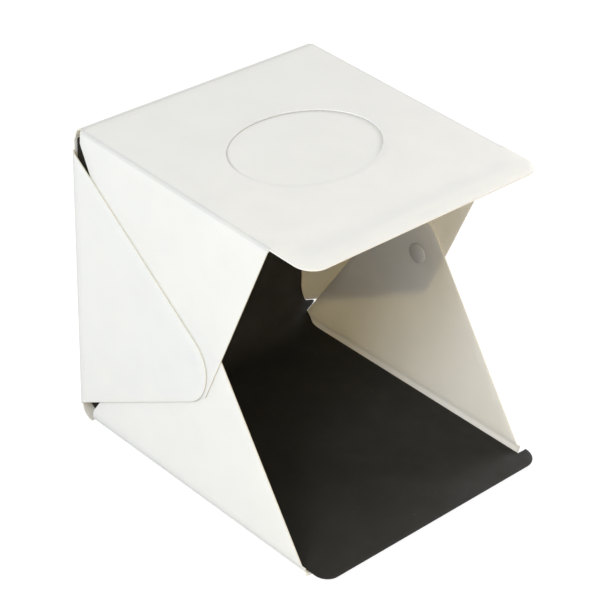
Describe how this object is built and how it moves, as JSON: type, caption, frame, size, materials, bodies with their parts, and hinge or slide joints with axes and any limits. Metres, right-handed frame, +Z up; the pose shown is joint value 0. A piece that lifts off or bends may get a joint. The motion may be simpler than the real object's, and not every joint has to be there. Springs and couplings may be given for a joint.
{
  "type": "light tent cube",
  "caption": "Folding open-fronted light tent for small product photography: creased translucent sheet shell, black backdrop sheet, oval window in the top.",
  "frame": {"origin": "middle of the base panel's underside", "axes": "+X across the opening, +Y towards the back panel, +Z up; the open front faces -Y"},
  "size_m": [0.2279, 0.2681, 0.2404],
  "materials": {
    "white_sheet": "satin translucent white sheet",
    "black_sheet": "matt black sheet",
    "cap": "satin",
    "magnet": "plated",
    "patch": "napped hook and loop",
    "tape": "foam tape",
    "board": "white lacquer",
    "chip": "clear resin over phosphor",
    "housing": "satin",
    "socket": "plated",
    "tongue": "satin"
  },
  "bodies": {
    "base": {"backdrop_bend": "black_sheet", "backdrop_floor": "black_sheet", "base_panel": "white_sheet"},
    "back": {"back_panel": "white_sheet", "backdrop_wall": "black_sheet", "base_back_crease": "white_sheet", "left_backdrop_hook_dot": "patch", "left_backdrop_loop_dot": "patch", "right_backdrop_hook_dot": "patch", "right_backdrop_loop_dot": "patch"},
    "top": {"back_top_crease": "white_sheet", "front_window_loop_dot": "patch", "led_board": "board", "led_chip_01": "chip", "led_chip_02": "chip", "led_chip_03": "chip", "led_chip_04": "chip", "led_chip_05": "chip", "led_chip_06": "chip", "led_chip_07": "chip", "led_chip_08": "chip", "led_chip_09": "chip", "led_chip_10": "chip", "led_chip_11": "chip", "led_tape": "tape", "left_window_loop_dot": "patch", "power_inlet_housing": "housing", "power_inlet_shell": "socket", "power_inlet_tongue": "tongue", "right_window_loop_dot": "patch", "top_panel": "white_sheet", "window_cover_crease": "white_sheet", "window_cover_tab": "white_sheet", "window_tab_tape": "tape"},
    "window_cover_body": {"front_window_hook_dot": "patch", "left_window_hook_dot": "patch", "right_window_hook_dot": "patch", "window_cover": "white_sheet"},
    "left_lower_side": {"left_base_crease": "white_sheet", "left_closure_magnet": "magnet", "left_lower_flap": "white_sheet", "left_magnet_cap": "cap"},
    "right_lower_side": {"right_base_crease": "white_sheet", "right_closure_magnet": "magnet", "right_lower_flap": "white_sheet", "right_magnet_cap": "cap"},
    "left_upper_side": {"left_top_crease": "white_sheet", "left_upper_flap": "white_sheet"},
    "right_upper_side": {"right_top_crease": "white_sheet", "right_upper_flap": "white_sheet"},
    "left_back_side": {"left_back_crease": "white_sheet", "left_back_flap": "white_sheet", "left_keeper_disc": "magnet"},
    "right_back_side": {"right_back_crease": "white_sheet", "right_back_flap": "white_sheet", "right_keeper_disc": "magnet"}
  },
  "joints": [
    {"name": "back_fold", "type": "hinge", "parent": "base", "child": "back", "pos_m": [0, 0.1184, 0.00327], "axis": [1, 0, 0], "range_deg": [-87.4, 0], "deforming": ["base_back_crease", "backdrop_bend"]},
    {"name": "top_fold", "type": "hinge", "parent": "back", "child": "top", "pos_m": [0, 0.12928, 0.23747], "axis": [1, 0, 0], "range_deg": [-93.7, 0], "deforming": ["back_top_crease"]},
    {"name": "left_lower_fold", "type": "hinge", "parent": "base", "child": "left_lower_side", "pos_m": [-0.10858, 0.12105, 0.00182], "axis": [0, -1, 0], "range_deg": [-89, 0], "deforming": ["left_base_crease", "backdrop_bend"]},
    {"name": "right_lower_fold", "type": "hinge", "parent": "base", "child": "right_lower_side", "pos_m": [0.10858, 0.12105, 0.00182], "axis": [0, 1, 0], "range_deg": [-86, 0], "deforming": ["right_base_crease", "backdrop_bend"]},
    {"name": "left_back_flap_fold", "type": "hinge", "parent": "back", "child": "left_back_side", "pos_m": [-0.11206, 0.12061, 0.00052], "axis": [0, -0.0454, -0.999], "range_deg": [0, 180], "deforming": ["left_back_crease"]},
    {"name": "right_back_flap_fold", "type": "hinge", "parent": "back", "child": "right_back_side", "pos_m": [0.11206, 0.12061, 0.00052], "axis": [0, 0.0454, 0.999], "range_deg": [0, 180], "deforming": ["right_back_crease"]},
    {"name": "left_upper_flap_fold", "type": "hinge", "parent": "top", "child": "left_upper_side", "pos_m": [-0.11076, 0.13194, 0.23961], "axis": [0, 0.9998, 0.0192], "range_deg": [0, 90], "deforming": ["left_top_crease"]},
    {"name": "right_upper_flap_fold", "type": "hinge", "parent": "top", "child": "right_upper_side", "pos_m": [0.11076, 0.13194, 0.23961], "axis": [0, -0.9998, -0.0192], "range_deg": [0, 90], "deforming": ["right_top_crease"]},
    {"name": "window_open", "type": "hinge", "parent": "top", "child": "window_cover_body", "pos_m": [0, 0.07189, 0.2363], "axis": [1, 0, 0], "range_deg": [0, 90], "deforming": ["window_cover_crease"]}
  ],
  "couplings": [
    {"joint": "left_upper_flap_fold", "follows": "left_back_flap_fold", "ratio": 0.5},
    {"joint": "right_upper_flap_fold", "follows": "right_back_flap_fold", "ratio": 0.5}
  ]
}
